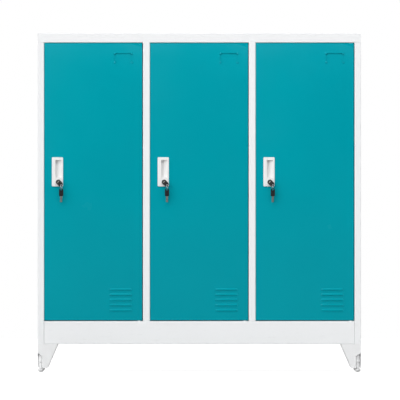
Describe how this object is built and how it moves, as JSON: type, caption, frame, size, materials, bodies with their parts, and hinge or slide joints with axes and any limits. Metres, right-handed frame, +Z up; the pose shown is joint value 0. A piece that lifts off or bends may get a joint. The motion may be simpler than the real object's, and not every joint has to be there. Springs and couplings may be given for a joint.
{
  "type": "locker cabinet",
  "caption": "Sheet-metal locker cabinet on corner feet, with side-by-side compartments behind inset hinged doors that have recessed pulls, cam locks and folding keys.",
  "frame": {"origin": "at floor level, in the middle of the overall footprint, keys and screw heads included", "axes": "+Z up, doors face -Y, +X to the right of a person facing the doors"},
  "size_m": [1.2, 0.4772, 1.257],
  "materials": {
    "white_coat": "fine satin powder coat",
    "teal_coat": "fine satin powder coat",
    "white_plastic": "moulded, satin",
    "foot_plastic": "moulded, satin",
    "glide_plastic": "moulded, satin",
    "lock_metal": "dark plated",
    "zinc_steel": "zinc plated",
    "chromed_steel": "bright nickel",
    "key_steel": "nickel plated",
    "key_plastic": "moulded, semi-gloss",
    "buffer_rubber": "matt"
  },
  "bodies": {
    "cabinet": {"left_side_panel": "white_coat", "right_side_panel": "white_coat", "left_divider": "white_coat", "right_divider": "white_coat", "back_panel": "white_coat", "top_panel": "white_coat", "floor_panel": "white_coat", "plinth_rail": "white_coat", "left_shelf": "white_coat", "middle_shelf": "white_coat", "right_shelf": "white_coat", "shelf_clips": "white_plastic", "hanging_rods": "chromed_steel", "rod_brackets": "white_plastic", "door_buffers": "buffer_rubber", "pivot_pins": "zinc_steel", "pivot_washers": "white_plastic", "cabinet_screws": "zinc_steel", "foot_screws": "zinc_steel", "front_left_foot": "foot_plastic", "front_right_foot": "foot_plastic", "rear_left_foot": "foot_plastic", "rear_right_foot": "foot_plastic"},
    "left_door": {"left_door_panel": "teal_coat", "left_door_stiffener": "teal_coat", "left_pull_handle": "white_plastic", "left_lock_barrel": "lock_metal"},
    "middle_door": {"middle_door_panel": "teal_coat", "middle_door_stiffener": "teal_coat", "middle_pull_handle": "white_plastic", "middle_lock_barrel": "lock_metal"},
    "right_door": {"right_door_panel": "teal_coat", "right_door_stiffener": "teal_coat", "right_pull_handle": "white_plastic", "right_lock_barrel": "lock_metal"},
    "left_lock": {"left_lock_plug": "lock_metal", "left_lock_cam": "zinc_steel"},
    "middle_lock": {"middle_lock_plug": "lock_metal", "middle_lock_cam": "zinc_steel"},
    "right_lock": {"right_lock_plug": "lock_metal", "right_lock_cam": "zinc_steel"},
    "left_key": {"left_key_blade": "key_steel"},
    "left_key_grip": {"left_key_head": "key_plastic"},
    "left_ring": {"left_key_ring": "chromed_steel"},
    "left_spare_key": {"left_spare_key_blade": "key_steel", "left_spare_key_head": "key_plastic"},
    "middle_key": {"middle_key_blade": "key_steel"},
    "middle_key_grip": {"middle_key_head": "key_plastic"},
    "middle_ring": {"middle_key_ring": "chromed_steel"},
    "middle_spare_key": {"middle_spare_key_blade": "key_steel", "middle_spare_key_head": "key_plastic"},
    "right_key": {"right_key_blade": "key_steel"},
    "right_key_grip": {"right_key_head": "key_plastic"},
    "right_ring": {"right_key_ring": "chromed_steel"},
    "right_spare_key": {"right_spare_key_blade": "key_steel", "right_spare_key_head": "key_plastic"},
    "front_left_leveller": {"front_left_leveller": "glide_plastic"},
    "front_right_leveller": {"front_right_leveller": "glide_plastic"},
    "rear_left_leveller": {"rear_left_leveller": "glide_plastic"},
    "rear_right_leveller": {"rear_right_leveller": "glide_plastic"}
  },
  "joints": [
    {"name": "left_door_hinge", "type": "hinge", "parent": "cabinet", "child": "left_door", "pos_m": [-0.2235, -0.20616, 0.188], "axis": [0, 0, 1], "range_deg": [0, 110]},
    {"name": "middle_door_hinge", "type": "hinge", "parent": "cabinet", "child": "middle_door", "pos_m": [0.169, -0.20616, 0.188], "axis": [0, 0, 1], "range_deg": [0, 110]},
    {"name": "right_door_hinge", "type": "hinge", "parent": "cabinet", "child": "right_door", "pos_m": [0.5615, -0.20616, 0.188], "axis": [0, 0, 1], "range_deg": [0, 110]},
    {"name": "left_lock_turn", "type": "hinge", "parent": "left_door", "child": "left_lock", "pos_m": [-0.5233, -0.21316, 0.7045], "axis": [0, 1, 0], "range_deg": [0, 90]},
    {"name": "middle_lock_turn", "type": "hinge", "parent": "middle_door", "child": "middle_lock", "pos_m": [-0.1308, -0.21316, 0.7045], "axis": [0, 1, 0], "range_deg": [0, 90]},
    {"name": "right_lock_turn", "type": "hinge", "parent": "right_door", "child": "right_lock", "pos_m": [0.2617, -0.21316, 0.7045], "axis": [0, 1, 0], "range_deg": [0, 90]},
    {"name": "left_key_slide", "type": "slide", "parent": "left_lock", "child": "left_key", "axis": [0, -1, 0], "range_m": [0, 0.03]},
    {"name": "left_key_fold", "type": "hinge", "parent": "left_key", "child": "left_key_grip", "pos_m": [-0.5233, -0.22316, 0.7045], "axis": [-0.7071, 0, -0.7071], "range_deg": [0, 65]},
    {"name": "left_ring_turn", "type": "hinge", "parent": "left_key_grip", "child": "left_ring", "pos_m": [-0.51228, -0.23043, 0.69348], "axis": [0, 1, 0], "range_deg": [-90, 0]},
    {"name": "left_spare_swing", "type": "hinge", "parent": "left_ring", "child": "left_spare_key", "pos_m": [-0.51228, -0.23043, 0.67728], "axis": [-0.342, -0.9397, 0], "range_deg": [-25, 25]},
    {"name": "middle_key_slide", "type": "slide", "parent": "middle_lock", "child": "middle_key", "axis": [0, -1, 0], "range_m": [0, 0.03]},
    {"name": "middle_key_fold", "type": "hinge", "parent": "middle_key", "child": "middle_key_grip", "pos_m": [-0.1308, -0.22316, 0.7045], "axis": [-0.7071, 0, -0.7071], "range_deg": [0, 65]},
    {"name": "middle_ring_turn", "type": "hinge", "parent": "middle_key_grip", "child": "middle_ring", "pos_m": [-0.11978, -0.23043, 0.69348], "axis": [0, 1, 0], "range_deg": [-90, 0]},
    {"name": "middle_spare_swing", "type": "hinge", "parent": "middle_ring", "child": "middle_spare_key", "pos_m": [-0.11978, -0.23043, 0.67728], "axis": [-0.342, -0.9397, 0], "range_deg": [-25, 25]},
    {"name": "right_key_slide", "type": "slide", "parent": "right_lock", "child": "right_key", "axis": [0, -1, 0], "range_m": [0, 0.03]},
    {"name": "right_key_fold", "type": "hinge", "parent": "right_key", "child": "right_key_grip", "pos_m": [0.2617, -0.22316, 0.7045], "axis": [-0.7071, 0, -0.7071], "range_deg": [0, 65]},
    {"name": "right_ring_turn", "type": "hinge", "parent": "right_key_grip", "child": "right_ring", "pos_m": [0.27272, -0.23043, 0.69348], "axis": [0, 1, 0], "range_deg": [-90, 0]},
    {"name": "right_spare_swing", "type": "hinge", "parent": "right_ring", "child": "right_spare_key", "pos_m": [0.27272, -0.23043, 0.67728], "axis": [-0.342, -0.9397, 0], "range_deg": [-25, 25]},
    {"name": "front_left_leveller_screw", "type": "slide", "parent": "cabinet", "child": "front_left_leveller", "axis": [0, 0, -1], "range_m": [0, 0.012]},
    {"name": "front_right_leveller_screw", "type": "slide", "parent": "cabinet", "child": "front_right_leveller", "axis": [0, 0, -1], "range_m": [0, 0.012]},
    {"name": "rear_left_leveller_screw", "type": "slide", "parent": "cabinet", "child": "rear_left_leveller", "axis": [0, 0, -1], "range_m": [0, 0.012]},
    {"name": "rear_right_leveller_screw", "type": "slide", "parent": "cabinet", "child": "rear_right_leveller", "axis": [0, 0, -1], "range_m": [0, 0.012]}
  ],
  "couplings": [
    {"joint": "left_ring_turn", "follows": "left_lock_turn", "ratio": -1},
    {"joint": "middle_ring_turn", "follows": "middle_lock_turn", "ratio": -1},
    {"joint": "right_ring_turn", "follows": "right_lock_turn", "ratio": -1}
  ]
}
